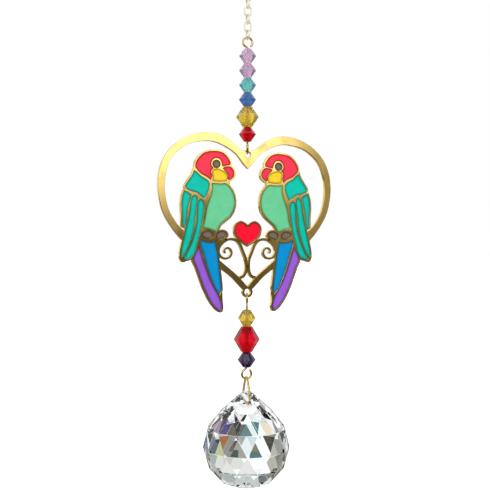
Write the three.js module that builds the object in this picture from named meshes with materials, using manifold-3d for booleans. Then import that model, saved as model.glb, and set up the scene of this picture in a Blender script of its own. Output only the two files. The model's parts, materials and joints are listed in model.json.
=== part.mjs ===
// Crystal suncatcher: a ring and chain, a beaded pin, a flat heart panel with two enamelled
// birds, a second beaded pin and a faceted crystal ball, all hanging in one line.
// Millimetres, +Z up, the panel faces -Y. The origin is where the ring rests on its hook.

import * as THREE from 'three';
import { mergeVertices } from 'three/addons/utils/BufferGeometryUtils.js';
import Module from 'manifold-3d';

const wasm = await Module();
wasm.setup();

// Fits
const touchGap = 0.03; // between pieces that hang or rest on each other
const enamelGap = 0.02; // round an inlay and under it

// Ring and chain
const ringInner = 7.2;
const ringWire = 0.9;
const linkCount = 7;
const linkWire = 0.4;
const linkInnerLength = 1.83;
const linkInnerWidth = 1.2;

// Pins
const pinWire = 0.5;
const pinLoopInner = 1.8;
const pinNeck = 0.2; // bare wire between a loop and the first bead
const lowerPinNeck = 1.25;
const neckBend = 22; // degrees of an eye taken up by the bend out of the shank
const eyeOpening = 38; // degrees between an eye's cut end and its shank
const panelEyeTurn = - 18; // degrees about the vertical of the eyes that go through the panel

// Beads: [name, colour, width over the girdle, height along the pin]
const beadBore = 1.0;
const beadSides = 12;
const wideFacet = 40; // degrees of the girdle under a bead's wide facet
const beadTurn = - 111; // degrees about the pin to the middle of a wide facet
const beadFlat = 0.42; // width of a bead's end face, as a share of its width
const upperBeads = [
	[ 'bead_lilac_upper', 0x9a7fc0, 4.0, 3.35 ],
	[ 'bead_lilac_lower', 0xa58bc8, 4.0, 3.35 ],
	[ 'bead_aqua', 0x2fa8b4, 4.0, 3.35 ],
	[ 'bead_sapphire', 0x1d3f9c, 4.0, 3.35 ],
	[ 'bead_yellow', 0xe3c21c, 5.3, 4.64 ],
	[ 'bead_red', 0xb00f1c, 4.0, 3.35 ],
];
const lowerBeads = [
	[ 'bead_yellow_small', 0xe8c62a, 4.2, 3.8 ],
	[ 'bead_red_large', 0xc4121f, 6.1, 5.95 ],
	[ 'bead_violet', 0x4a1470, 4.2, 3.5 ],
];

// Panel
const panelWidth = 42.8;
const panelThickness = 1.0;
const recessDepth = 0.45;
const enamelSink = 0.05; // how far the enamel lies below the brass
const panelHole = 1.5;
const notchWeb = 0.3; // brass over the upper hole, in the heart's notch
const loopWeb = 0.55; // brass round the lower hole

// Crystal ball and its clip
const ballDiameter = 20.1;
const ballNeckHeight = 12.3; // from the ball's centre to its flat top
const ballTopWidth = 2.4;
const ballFootHeight = 9.05; // from the ball's centre to its flat foot
const ballFootWidth = 6.8;
const ballSides = 12;
const ballLatitudes = [ - 53, - 28, - 3, 24, 54.5 ]; // degrees, of the rings of corners
const ballTurn = - 19.5; // degrees about the vertical
const ballBore = 1.2;
const ballBoreDepth = 2.4; // from the flat top down to the bore
const clipWire = 0.55;
const clipTurn = - 11; // degrees about the vertical
const clipHeight = 5.6;
const clipReach = 4.5; // from the middle of the ball to a strand's bend
const clipGrip = 1.7; // how near the middle the wire's ends reach
// One strand of the clip, from the ball's side to the top: shares of its reach and its height
const clipShape = [
	[ 0.88, 0 ], [ 0.97, 0.035 ], [ 1, 0.11 ], [ 0.96, 0.24 ], [ 0.8, 0.46 ], [ 0.56, 0.7 ],
	[ 0.34, 0.87 ], [ 0.16, 0.975 ], [ 0, 1 ],
];

// The panel's drawing, in millimetres at this width, from the middle of the upper hole:
// [ x, z ], with a third value of 1 at a sharp corner. Only the left half is drawn.
const drawnWidth = 42.8;
const drawing = panelWidth / drawnWidth;

// The drawing's strokes. They grow with it, so that its forms still meet.
const lineWidth = 0.4 * drawing; // brass left standing round every enamel cell
const cellGrowth = 0.08 * drawing; // how far a cell's edge lies outside its drawn outline
const scrollWidth = 0.74 * drawing;
const scrollTipWidth = 0.42 * drawing;

const heartOuter = [
	[ 0, 1.0 ], [ - 1.3, 0.95 ], [ - 3.0, 2.1 ], [ - 5.5, 3.8 ], [ - 8.3, 4.65 ], [ - 11.2, 4.55 ],
	[ - 14.2, 3.7 ], [ - 17.0, 2.05 ], [ - 19.4, - 0.4 ], [ - 20.9, - 3.6 ], [ - 21.4, - 7.3 ],
	[ - 21.1, - 10.5 ], [ - 20.25, - 13.6 ], [ - 18.55, - 16.6 ], [ - 16.1, - 19.6 ], [ - 11.4, - 23.2 ],
	[ - 6.3, - 26.6 ], [ - 3.6, - 28.7 ], [ - 1.7, - 30.7 ], [ 0, - 32.2, 1 ],
];
const heartInner = [
	[ 0, - 3.3, 1 ], [ - 1.1, - 2.2 ], [ - 2.8, - 0.05 ], [ - 5.15, 1.5 ], [ - 8.3, 2.65 ], [ - 11.2, 2.65 ],
	[ - 14.2, 1.85 ], [ - 16.45, 0.45 ], [ - 18.4, - 1.7 ], [ - 19.45, - 4.5 ], [ - 19.8, - 7.7 ],
	[ - 19.55, - 10.5 ], [ - 18.8, - 13.2 ], [ - 17.1, - 16.05 ], [ - 15.55, - 17.6 ], [ - 11.4, - 20.8 ],
	[ - 6.5, - 24.7 ], [ - 4.2, - 26.5 ], [ - 2.2, - 28.2 ], [ 0, - 30.5, 1 ],
];
const smallHeart = [
	[ 0, - 17.0, 1 ], [ - 0.6, - 16.25 ], [ - 1.75, - 15.75 ], [ - 2.8, - 16.4 ], [ - 3.1, - 17.4 ],
	[ - 2.8, - 18.7 ], [ - 2.0, - 19.6 ], [ - 1.0, - 20.3 ], [ 0, - 20.9, 1 ],
];
const scrollStem = [
	[ - 2.0, - 28.5 ], [ - 1.25, - 28.3 ], [ - 0.68, - 27.75 ], [ - 0.39, - 27.0 ], [ - 0.31, - 26.1 ],
	[ - 0.31, - 25.1 ], [ - 0.52, - 23.9 ], [ - 1.05, - 22.6 ], [ - 1.7, - 21.05 ],
	[ - 2.55, - 20.0 ], [ - 3.8, - 19.6 ], [ - 5.0, - 19.75 ], [ - 5.9, - 20.3 ],
	[ - 6.6, - 21.0 ], [ - 7.0, - 21.8 ],
];
const spiral = { x: - 5.15, z: - 22.5, from: 178, to: 590, outer: 1.95, inner: 0.3 };
const eye = { x: - 7.7, z: - 2.5, radius: 0.93 };
const lowerHoleDrop = 31.8; // from the upper hole to the hole of the loop under the heart

const cells = {
	head: {
		colour: 0xf23a4e,
		points: [
			[ - 12.6, - 3.2 ], [ - 12.2, - 1.8 ], [ - 10.6, - 0.2 ], [ - 8.3, 0.35 ], [ - 6.2, 0.05 ],
			[ - 5.0, - 1.0 ], [ - 4.4, - 2.1 ], [ - 4.5, - 2.5, 1 ], [ - 6.2, - 2.9, 1 ], [ - 6.4, - 1.9 ],
			[ - 6.9, - 1.25 ], [ - 7.7, - 1.0 ], [ - 8.6, - 1.4 ], [ - 9.1, - 2.3 ], [ - 9.0, - 3.0 ],
			[ - 8.5, - 3.5, 1 ], [ - 9.0, - 3.9 ], [ - 9.1, - 4.5 ], [ - 8.8, - 5.3 ], [ - 9.0, - 6.1, 1 ],
			[ - 9.9, - 5.4 ], [ - 10.7, - 5.05 ], [ - 11.5, - 4.6 ], [ - 12.3, - 3.8 ],
		],
	},
	beak: {
		colour: 0xf04050,
		points: [
			[ - 6.0, - 3.5 ], [ - 5.6, - 3.15 ], [ - 4.4, - 3.1 ], [ - 3.7, - 3.7 ], [ - 3.45, - 4.6 ],
			[ - 3.8, - 5.4 ], [ - 4.5, - 5.9 ], [ - 4.9, - 5.7 ], [ - 4.7, - 5.1 ], [ - 5.1, - 4.35 ],
			[ - 5.7, - 3.8 ],
		],
	},
	chin: {
		colour: 0xf2cf2c,
		points: [
			[ - 8.6, - 4.5 ], [ - 8.3, - 3.9 ], [ - 7.5, - 3.7 ], [ - 6.5, - 3.95 ], [ - 5.5, - 4.5 ],
			[ - 5.1, - 5.2 ], [ - 5.2, - 6.2, 1 ], [ - 7.0, - 6.4 ], [ - 8.5, - 6.2, 1 ], [ - 8.4, - 5.4 ],
		],
	},
	shoulder: {
		colour: 0x08c0b0,
		points: [
			[ - 13.0, - 4.2, 1 ], [ - 13.25, - 5.1 ], [ - 14.5, - 6.9 ], [ - 14.95, - 7.8 ],
			[ - 14.6, - 8.3 ], [ - 13.3, - 8.8 ], [ - 12.3, - 9.0 ], [ - 11.3, - 9.7 ],
			[ - 10.5, - 10.35, 1 ], [ - 9.9, - 9.2 ], [ - 9.45, - 7.8 ], [ - 9.5, - 6.9 ],
			[ - 10.1, - 6.2 ], [ - 11.4, - 5.5 ], [ - 12.4, - 4.6 ],
		],
	},
	outer_feather: {
		colour: 0x18bca8,
		points: [
			[ - 15.3, - 8.9, 1 ], [ - 14.6, - 9.15 ], [ - 13.8, - 9.75, 1 ], [ - 14.1, - 11.0 ],
			[ - 14.6, - 13.0 ], [ - 14.85, - 15.5 ], [ - 15.1, - 16.7 ], [ - 15.55, - 16.6 ],
			[ - 15.6, - 14.5 ], [ - 15.8, - 12.0 ], [ - 15.65, - 10.2 ],
		],
	},
	middle_feather: {
		colour: 0x10bcae,
		points: [
			[ - 13.5, - 10.5 ], [ - 13.0, - 9.9 ], [ - 12.4, - 10.1 ], [ - 12.3, - 11.0 ],
			[ - 12.7, - 14.0 ], [ - 13.0, - 16.8 ], [ - 13.6, - 19.3 ], [ - 14.5, - 21.7 ],
			[ - 15.35, - 23.2 ], [ - 15.8, - 23.6 ], [ - 15.9, - 22.8 ], [ - 15.2, - 19.3 ],
			[ - 14.5, - 16.4 ], [ - 13.9, - 13.5 ],
		],
	},
	inner_feather: {
		colour: 0x14bca6,
		points: [
			[ - 11.9, - 11.1 ], [ - 11.4, - 10.75 ], [ - 10.75, - 11.3 ], [ - 10.7, - 12.5 ],
			[ - 11.1, - 15.6 ], [ - 11.6, - 18.3 ], [ - 12.4, - 21.0 ], [ - 12.8, - 22.7 ],
			[ - 13.5, - 23.7 ], [ - 14.7, - 24.2 ], [ - 15.3, - 24.1 ], [ - 14.7, - 23.1 ],
			[ - 13.6, - 20.9 ], [ - 12.7, - 18.2 ], [ - 12.2, - 15.8 ], [ - 12.1, - 13.0 ],
		],
	},
	breast: {
		colour: 0x6fcc98,
		points: [
			[ - 8.7, - 7.0, 1 ], [ - 6.6, - 7.1 ], [ - 5.5, - 7.0 ], [ - 4.5, - 7.7 ], [ - 3.6, - 9.2 ],
			[ - 3.25, - 10.9 ], [ - 3.5, - 12.6 ], [ - 4.3, - 14.1 ], [ - 5.7, - 15.35 ],
			[ - 6.8, - 16.3 ], [ - 7.3, - 17.2 ], [ - 7.7, - 17.7 ], [ - 8.4, - 17.6 ], [ - 9.4, - 17.2 ],
			[ - 10.8, - 17.0, 1 ], [ - 10.35, - 15.3 ], [ - 10.0, - 13.0 ], [ - 9.5, - 11.3 ],
			[ - 8.9, - 9.7 ], [ - 8.6, - 8.2 ],
		],
	},
	outer_foot: {
		colour: 0x7c6a5c,
		points: [
			[ - 11.1, - 18.6 ], [ - 10.4, - 17.95 ], [ - 9.3, - 17.9 ], [ - 8.6, - 18.5 ],
			[ - 8.5, - 19.2 ], [ - 9.2, - 19.5 ], [ - 10.3, - 19.3 ],
		],
	},
	inner_foot: {
		colour: 0x826e60,
		points: [
			[ - 7.6, - 19.2 ], [ - 7.35, - 18.3 ], [ - 6.5, - 17.9 ], [ - 5.6, - 18.0 ],
			[ - 5.15, - 18.7 ], [ - 5.6, - 19.2 ], [ - 6.4, - 19.35 ], [ - 7.1, - 19.75 ],
		],
	},
	blue_tail: {
		colour: 0x0590d6,
		points: [
			[ - 11.4, - 19.9, 1 ], [ - 10.3, - 20.35 ], [ - 9.0, - 20.5 ], [ - 8.0, - 20.3, 1 ],
			[ - 7.55, - 22.2 ], [ - 7.2, - 25.0 ], [ - 6.75, - 28.5 ], [ - 6.5, - 31.2 ],
			[ - 6.75, - 32.2, 1 ], [ - 7.7, - 30.9 ], [ - 8.7, - 28.8 ], [ - 9.7, - 26.0 ],
			[ - 10.6, - 23.0 ], [ - 11.2, - 21.3 ],
		],
	},
	purple_tail: {
		colour: 0x9660d8,
		points: [
			[ - 11.8, - 21.5, 1 ], [ - 11.2, - 23.4 ], [ - 10.3, - 26.1 ], [ - 9.2, - 28.9 ],
			[ - 7.9, - 31.3 ], [ - 6.85, - 33.2 ], [ - 6.4, - 34.7 ], [ - 6.5, - 35.9 ],
			[ - 7.2, - 35.7 ], [ - 8.6, - 34.2 ], [ - 10.1, - 31.6 ], [ - 11.3, - 28.7 ],
			[ - 12.3, - 25.9 ], [ - 13.0, - 24.4 ], [ - 12.7, - 23.3 ],
		],
	},
};
const eyeColour = 0x857468;

// Brass between cells that is wider than the lines round them: corners of plain patches
const brassPatches = [
	[ [ - 14.6, - 8.8 ], [ - 9.7, - 6.0 ], [ - 9.0, - 8.6 ], [ - 10.0, - 12.2 ], [ - 13.8, - 10.4 ] ],
	[ [ - 11.3, - 16.9 ], [ - 7.6, - 17.6 ], [ - 5.2, - 19.1 ], [ - 6.3, - 20.4 ], [ - 7.2, - 22.3 ],
		[ - 8.4, - 20.5 ], [ - 12.3, - 20.7 ], [ - 12.1, - 18.5 ] ],
	[ [ - 6.7, - 2.6 ], [ - 5.7, - 2.8 ], [ - 6.0, - 4.0 ], [ - 7.0, - 3.4 ] ],
	[ [ - 5.5, - 5.9 ], [ - 4.55, - 6.2 ], [ - 4.4, - 6.95 ], [ - 5.5, - 7.0 ] ],
	[ [ - 9.4, - 6.2 ], [ - 8.4, - 6.2 ], [ - 8.9, - 7.1 ] ],
	[ [ - 16.4, - 22.8 ], [ - 16.35, - 23.9 ], [ - 16.1, - 24.6 ], [ - 15.7, - 24.95 ],
		[ - 15.2, - 24.9 ], [ - 14.6, - 24.6 ], [ - 15.2, - 23.2 ] ],
	[ [ - 6.15, - 31.4 ], [ - 6.0, - 34.6 ], [ - 7.2, - 33.0 ], [ - 7.2, - 31.4 ] ],
	[ [ - 13.25, - 3.6 ], [ - 12.9, - 3.2 ], [ - 12.6, - 4.6 ], [ - 13.45, - 4.6 ] ],
];
const heartColour = 0xff1c3c;

// Fineness of the faceted surfaces
const samplesPerSpan = 6;
const outlineTolerance = 0.04;
const mergeReach = 1e-5; // corners this near are the same corner
const weld = 0.004; // edges shorter than this are taken out of the panel
const holeSides = 16;
const wireSides = 6;
const boreSides = 8;
const loopSteps = 14;
const spiralSteps = 22;
const linkSteps = 10;
const ringSteps = 24;

const brass = { color: 0xd9b65a, roughness: 0.25, metalness: 1 };
const radians = THREE.MathUtils.degToRad;

const group = new THREE.Group();

// Adds a geometry to a parent as a named sub-part with a material of its own.
function add( name, geometry, look, parent = group ) {

	const mesh = new THREE.Mesh( geometry, new THREE.MeshStandardMaterial( look ) );
	mesh.name = name;
	parent.add( mesh );
	return mesh;

}

// A closed geometry as a manifold solid, for joining and cutting.
function solid( geometry ) {

	const bare = geometry.clone();
	bare.deleteAttribute( 'normal' );
	bare.deleteAttribute( 'uv' );
	const merged = mergeVertices( bare, mergeReach );
	return new wasm.Manifold( new wasm.Mesh( {
		numProp: 3,
		vertProperties: Float32Array.from( merged.attributes.position.array ),
		triVerts: Uint32Array.from( merged.index.array ),
	} ) );

}

function geometryOf( body ) {

	const mesh = body.getMesh();
	const geometry = new THREE.BufferGeometry();
	geometry.setAttribute( 'position', new THREE.BufferAttribute( mesh.vertProperties, 3 ) );
	geometry.setIndex( new THREE.BufferAttribute( mesh.triVerts, 1 ) );
	return geometry;

}

function distanceToLine( point, start, end ) {

	const along = new THREE.Vector2().subVectors( end, start );
	const across = new THREE.Vector2().subVectors( point, start );
	const share = THREE.MathUtils.clamp( across.dot( along ) / Math.max( along.lengthSq(), 1e-9 ), 0, 1 );
	return across.addScaledVector( along, - share ).length();

}

function distanceToOutline( point, outline ) {

	return Math.min( ...outline.map( ( start, i ) =>
		distanceToLine( point, start, outline[ ( i + 1 ) % outline.length ] ) ) );

}

// Leaves out the points of a run that lie within the tolerance of the line through the rest.
function thinned( run ) {

	const first = run[ 0 ];
	const last = run[ run.length - 1 ];
	let widest = 0;
	let at = 0;
	for ( let i = 1; i < run.length - 1; i ++ ) {

		const distance = distanceToLine( run[ i ], first, last );
		if ( distance > widest ) {

			widest = distance;
			at = i;

		}

	}

	if ( widest <= outlineTolerance ) return [ first, last ];
	return [ ...thinned( run.slice( 0, at + 1 ) ).slice( 0, - 1 ), ...thinned( run.slice( at ) ) ];

}

// A smooth run through points, which keeps its two ends.
function smoothRun( points ) {

	const curve = new THREE.CatmullRomCurve3( points.map( p => new THREE.Vector3( p.x, p.y, 0 ) ) );
	const samples = curve.getPoints( samplesPerSpan * ( points.length - 1 ) );
	return samples.map( p => new THREE.Vector2( p.x, p.y ) );

}

// A closed outline through drawn points, smooth but for its marked corners.
function outlineThrough( drawn ) {

	const points = drawn.map( ( [ x, z ] ) => new THREE.Vector2( x, z ).multiplyScalar( drawing ) );
	const corners = drawn.map( ( p, i ) => i ).filter( i => drawn[ i ][ 2 ] );
	const runs = [];
	if ( corners.length === 0 ) {

		// With no corner, neighbours on both sides carry the curve past its start.
		const count = points.length;
		const round = [ points[ count - 1 ], ...points, points[ 0 ], points[ 1 ] ];
		const samples = smoothRun( round );
		const loop = samples.slice( samplesPerSpan, samples.length - samplesPerSpan );
		const half = Math.floor( loop.length / 2 );
		runs.push( loop.slice( 0, half + 1 ), loop.slice( half ) );

	}

	corners.forEach( ( corner, k ) => {

		const next = corners[ ( k + 1 ) % corners.length ];
		const span = ( next - corner + points.length - 1 ) % points.length + 1;
		const run = [];
		for ( let i = 0; i <= span; i ++ ) run.push( points[ ( corner + i ) % points.length ] );
		runs.push( smoothRun( run ) );

	} );

	const outline = runs.flatMap( run => thinned( run ).slice( 0, - 1 ) );
	return THREE.ShapeUtils.isClockWise( outline ) ? outline.reverse() : outline;

}

function mirrored( outline ) {

	return outline.map( p => new THREE.Vector2( - p.x, p.y ) ).reverse();

}

// Adds the mirror image of a half outline that starts and ends on the middle line.
function bothHalves( half ) {

	const back = half.slice( 1, - 1 ).reverse().map( ( [ x, z, corner ] ) => [ - x, z, corner ] );
	return [ ...half, ...back ];

}

function circle( x, z, radius, sides ) {

	const points = [];
	for ( let i = 0; i < sides; i ++ ) {

		const angle = i / sides * Math.PI * 2;
		points.push( new THREE.Vector2( x + radius * Math.cos( angle ), z + radius * Math.sin( angle ) ) );

	}

	return points;

}

// An outline moved outwards by a distance, with its sharp tips kept short.
function grown( outline, distance ) {

	const longestTip = 1.2;
	const count = outline.length;
	const moved = [];
	outline.forEach( ( point, i ) => {

		const before = new THREE.Vector2().subVectors( point, outline[ ( i + count - 1 ) % count ] ).normalize();
		const after = new THREE.Vector2().subVectors( outline[ ( i + 1 ) % count ], point ).normalize();
		const out = new THREE.Vector2( before.y + after.y, - before.x - after.x ).normalize();
		const lean = Math.max( out.x * after.y - out.y * after.x, 1 / longestTip );
		moved.push( point.clone().addScaledVector( out, distance / lean ) );

	} );
	const slack = 0.97;
	return moved.filter( p => distanceToOutline( p, outline ) >= distance * slack );

}

// A plate with an outline in the XZ plane, between two depths along Y.
function plate( outline, front, back, holes = [] ) {

	const shape = new THREE.Shape( outline );
	holes.forEach( hole => shape.holes.push( new THREE.Path( hole ) ) );
	const geometry = new THREE.ExtrudeGeometry( shape, { depth: back - front, bevelEnabled: false } );
	geometry.rotateX( Math.PI / 2 );
	geometry.translate( 0, back, 0 );
	return geometry;

}

// A flat stroke along a centre line, narrowing from one width to another.
function stroke( centreLine, startWidth, endWidth ) {

	const left = [];
	const right = [];
	centreLine.forEach( ( point, i ) => {

		const before = centreLine[ Math.max( i - 1, 0 ) ];
		const after = centreLine[ Math.min( i + 1, centreLine.length - 1 ) ];
		const side = new THREE.Vector2( before.y - after.y, after.x - before.x ).normalize();
		const half = THREE.MathUtils.lerp( startWidth, endWidth, i / ( centreLine.length - 1 ) ) / 2;
		left.push( point.clone().addScaledVector( side, half ) );
		right.push( point.clone().addScaledVector( side, - half ) );

	} );
	const outline = [ ...left, ...right.reverse() ];
	return THREE.ShapeUtils.isClockWise( outline ) ? outline.reverse() : outline;

}

// The stem that rises from the heart's point, arches over and curls into a spiral.
function scrollLine() {

	const drawn = scrollStem.map( ( [ x, z ] ) => new THREE.Vector2( x, z ) );
	for ( let i = 0; i <= spiralSteps; i ++ ) {

		const share = i / spiralSteps;
		const angle = radians( THREE.MathUtils.lerp( spiral.from, spiral.to, share ) );
		const radius = THREE.MathUtils.lerp( spiral.outer, spiral.inner, share );
		drawn.push( new THREE.Vector2(
			spiral.x + radius * Math.cos( angle ), spiral.z + radius * Math.sin( angle ) ) );

	}

	return thinned( smoothRun( drawn.map( p => p.multiplyScalar( drawing ) ) ) );

}

// Outlines of every enamel cell, by name and with its colour.
function enamelCells() {

	const left = Object.entries( cells ).map( ( [ name, cell ] ) =>
		( { name, colour: cell.colour, outline: grown( outlineThrough( cell.points ), cellGrowth ) } ) );
	const eyeOutline = circle( eye.x * drawing, eye.z * drawing, eye.radius * drawing, holeSides );
	left.push( { name: 'eye', colour: eyeColour, outline: eyeOutline } );
	const right = left.map( cell => ( { ...cell, outline: mirrored( cell.outline ) } ) );
	const heart = outlineThrough( bothHalves( smallHeart ) );
	return [
		...left.map( cell => ( { ...cell, name: 'enamel_' + cell.name + '_left' } ) ),
		...right.map( cell => ( { ...cell, name: 'enamel_' + cell.name + '_right' } ) ),
		{ name: 'enamel_heart', colour: heartColour, outline: heart },
	];

}

const front = - panelThickness / 2;
const back = panelThickness / 2;

// The gilt casting: heart band, both birds' outlines, small heart, scrolls and lower loop.
function heartPanel( enamel, lowerHole ) {

	const band = plate( outlineThrough( bothHalves( heartOuter ) ), front, back,
		[ outlineThrough( bothHalves( heartInner ) ) ] );
	const scroll = stroke( scrollLine(), scrollWidth, scrollTipWidth );
	const loop = circle( 0, lowerHole, panelHole / 2 + loopWeb, holeSides * 2 );
	const boss = circle( 0, 0, panelHole / 2 + notchWeb, holeSides * 2 );
	const patches = brassPatches.map( corners => {

		const patch = corners.map( ( [ x, z ] ) => new THREE.Vector2( x, z ).multiplyScalar( drawing ) );
		return THREE.ShapeUtils.isClockWise( patch ) ? patch.reverse() : patch;

	} );
	const mirroredToo = [ scroll, ...patches ].flatMap( outline => [ outline, mirrored( outline ) ] );
	const outlines = [ boss, loop, ...mirroredToo, ...enamel.map( cell => grown( cell.outline, lineWidth ) ) ];
	const joined = [ band, ...outlines.map( outline => plate( outline, front, back ) ) ];
	let panel = joined.map( solid ).reduce( ( a, b ) => a.add( b ) ).asOriginal().simplify( weld );
	const past = panelThickness;
	for ( const z of [ 0, lowerHole ] ) {

		const hole = plate( circle( 0, z, panelHole / 2, holeSides ), front - past, back + past );
		panel = panel.subtract( solid( hole ) );

	}

	for ( const cell of enamel ) {

		const recess = plate( grown( cell.outline, enamelGap ), front - past, front + recessDepth );
		panel = panel.subtract( solid( recess ) );

	}

	return geometryOf( panel.asOriginal().simplify( weld ) );

}

// A path that is sampled at its own points, so that straight runs take few steps.
class WirePath extends THREE.CatmullRomCurve3 {

	getPointAt( u, target ) {

		return this.getPoint( u, target );

	}

	getTangentAt( u, target ) {

		return this.getTangent( u, target );

	}

}

// A round wire along a list of points.
function wire( points, diameter ) {

	const section = new THREE.Shape( circle( 0, 0, diameter / 2, wireSides ) );
	return new THREE.ExtrudeGeometry( section, {
		steps: points.length - 1,
		bevelEnabled: false,
		extrudePath: new WirePath( points ),
	} );

}

// One eye of a pin, from the end of the neck's bend round to the wire's cut end. It lies in
// the plane of the side direction; up is 1 for an eye over its shank and -1 for one under it.
function pinEye( centre, up, side ) {

	const radius = ( pinLoopInner + pinWire ) / 2;
	const points = [];
	for ( let i = 0; i <= loopSteps; i ++ ) {

		const angle = radians( THREE.MathUtils.lerp( neckBend, 360 - eyeOpening, i / loopSteps ) );
		points.push( new THREE.Vector3( 0, 0, centre - up * radius * Math.cos( angle ) )
			.addScaledVector( side, radius * Math.sin( angle ) ) );

	}

	return points;

}

// A straight wire with an eye at each end, between the two eyes' centres.
function eyePin( top, bottom, topSide, bottomSide ) {

	const radius = ( pinLoopInner + pinWire ) / 2;
	const straight = [ radius + pinWire / 2, radius + pinWire ];
	return wire( [
		...pinEye( top, 1, topSide ).reverse(),
		...straight.map( drop => new THREE.Vector3( 0, 0, top - drop ) ),
		...straight.map( rise => new THREE.Vector3( 0, 0, bottom + rise ) ).reverse(),
		...pinEye( bottom, - 1, bottomSide ),
	], pinWire );

}

// An oval link, upright in the XZ plane: a torus whose upper and lower halves are drawn apart.
function chainLink() {

	const radius = ( linkInnerWidth + linkWire ) / 2;
	const drawnApart = ( linkInnerLength - linkInnerWidth ) / 2;
	const geometry = new THREE.TorusGeometry( radius, linkWire / 2, wireSides, linkSteps );
	geometry.rotateZ( Math.PI / linkSteps );
	geometry.rotateX( Math.PI / 2 );
	const place = geometry.attributes.position;
	for ( let i = 0; i < place.count; i ++ ) {

		place.setZ( i, place.getZ( i ) + Math.sign( place.getZ( i ) ) * drawnApart );

	}

	return geometry;

}

function hangingRing() {

	const radius = ( ringInner + ringWire ) / 2;
	const geometry = new THREE.TorusGeometry( radius, ringWire / 2, wireSides, ringSteps );
	return geometry.rotateX( Math.PI / 2 );

}

// A ring of corners at a height, turned by an angle in degrees.
function ringOfCorners( radius, z, turn, angles ) {

	return angles.map( angle => {

		const at = radians( angle + turn );
		return new THREE.Vector3( radius * Math.cos( at ), radius * Math.sin( at ), z );

	} );

}

// A faceted body from rings of corners, from the lowest to the highest, with flat ends.
// A ring stands over the one below it, or half a side further on.
function facetedBody( rings ) {

	const sides = rings[ 0 ].length;
	const top = ( rings.length - 1 ) * sides;
	const faces = [];
	for ( let low = 0; low < top; low += sides ) {

		for ( let i = 0; i < sides; i ++ ) {

			const next = ( i + 1 ) % sides;
			faces.push( low + i, low + next, low + sides + i );
			faces.push( low + next, low + sides + next, low + sides + i );

		}

	}

	for ( let i = 1; i < sides - 1; i ++ ) {

		faces.push( 0, i + 1, i );
		faces.push( top, top + i, top + i + 1 );

	}

	const geometry = new THREE.BufferGeometry();
	const positions = rings.flat().flatMap( p => [ p.x, p.y, p.z ] );
	geometry.setAttribute( 'position', new THREE.Float32BufferAttribute( positions, 3 ) );
	geometry.setIndex( faces );
	return geometry;

}

// A glass bicone with wide and narrow facets by turns and a bore along Z, centred on its girdle.
function bead( width, height ) {

	const angles = [];
	for ( let i = 0; i < beadSides / 2; i ++ ) {

		const middle = i * 720 / beadSides;
		angles.push( middle - wideFacet / 2, middle + wideFacet / 2 );

	}

	const end = width * beadFlat / 2;
	const body = solid( facetedBody( [
		ringOfCorners( end, - height / 2, beadTurn, angles ),
		ringOfCorners( width / 2, 0, beadTurn, angles ),
		ringOfCorners( end, height / 2, beadTurn, angles ),
	] ) );
	const bore = new THREE.CylinderGeometry( beadBore / 2, beadBore / 2, height * 2, boreSides );
	return geometryOf( body.subtract( solid( bore.rotateX( Math.PI / 2 ) ) ) );

}

// The crystal ball about its own centre, with its bore along Y near its top.
function crystalBall() {

	const radius = ballDiameter / 2;
	const step = 360 / ballSides;
	const angles = Array.from( { length: ballSides }, ( _, i ) => i * step );
	const rings = [ ringOfCorners( ballFootWidth / 2, - ballFootHeight, 0, angles ) ];
	ballLatitudes.forEach( ( latitude, i ) => {

		const at = radians( latitude );
		rings.push( ringOfCorners( radius * Math.cos( at ), radius * Math.sin( at ), i * step / 2, angles ) );

	} );
	const lastTurn = ( ballLatitudes.length - 1 ) * step / 2;
	rings.push( ringOfCorners( ballTopWidth / 2, ballNeckHeight, lastTurn, angles ) );
	const body = facetedBody( rings ).rotateZ( radians( ballTurn - clipTurn ) );
	const bore = new THREE.CylinderGeometry( ballBore / 2, ballBore / 2, ballDiameter, boreSides );
	bore.translate( 0, 0, ballNeckHeight - ballBoreDepth );
	return geometryOf( solid( body ).subtract( solid( bore ) ) );

}

// The clip, from one end inside the bore over the top to the other. Its ends lie at z = 0.
function ballClip() {

	const half = clipShape.map( ( [ reach, height ] ) =>
		new THREE.Vector3( 0, - reach * clipReach, height * clipHeight ) );
	const strand = [ new THREE.Vector3( 0, - clipGrip, 0 ), ...half ];
	const other = strand.slice( 0, - 1 ).map( p => new THREE.Vector3( 0, - p.y, p.z ) ).reverse();
	return wire( [ ...strand, ...other ], clipWire );

}

// Everything hangs in one line, so each piece is placed under the one before it.
const glass = { roughness: 0.03, metalness: 0, transparent: true, opacity: 0.75 };
const eyeInside = pinLoopInner / 2;
const eyeOutside = eyeInside + pinWire;
const sideways = new THREE.Vector3( - 1, 0, 0 );
const upwards = new THREE.Vector3( 0, 0, 1 );
const throughPanel = new THREE.Vector3( 0, 1, 0 ).applyAxisAngle( upwards, radians( panelEyeTurn ) );

// How far a plate's edge stays from the middle of the eye that goes round it.
const plateInEye = Math.sqrt( eyeInside ** 2 - ( panelThickness / 2 ) ** 2 ) - touchGap;

const ringCentre = - ringInner / 2;
add( 'hanging_ring', hangingRing(), brass ).position.z = ringCentre;

let linkCentre = - ringInner + touchGap - linkInnerLength / 2;
for ( let i = 1; i <= linkCount; i ++ ) {

	const link = add( 'chain_link_' + i, chainLink(), brass );
	link.position.z = linkCentre;
	link.rotation.z = i % 2 ? Math.PI / 2 : 0;
	linkCentre -= linkInnerLength - touchGap;

}

// Threads beads onto a pin from a height down, and returns the height under the last one.
function threadBeads( beads, from ) {

	let at = from;
	for ( const [ name, colour, width, tall ] of beads ) {

		add( name, bead( width, tall ), { ...glass, color: colour } ).position.z = at - tall / 2;
		at -= tall + touchGap;

	}

	return at + touchGap;

}

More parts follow.
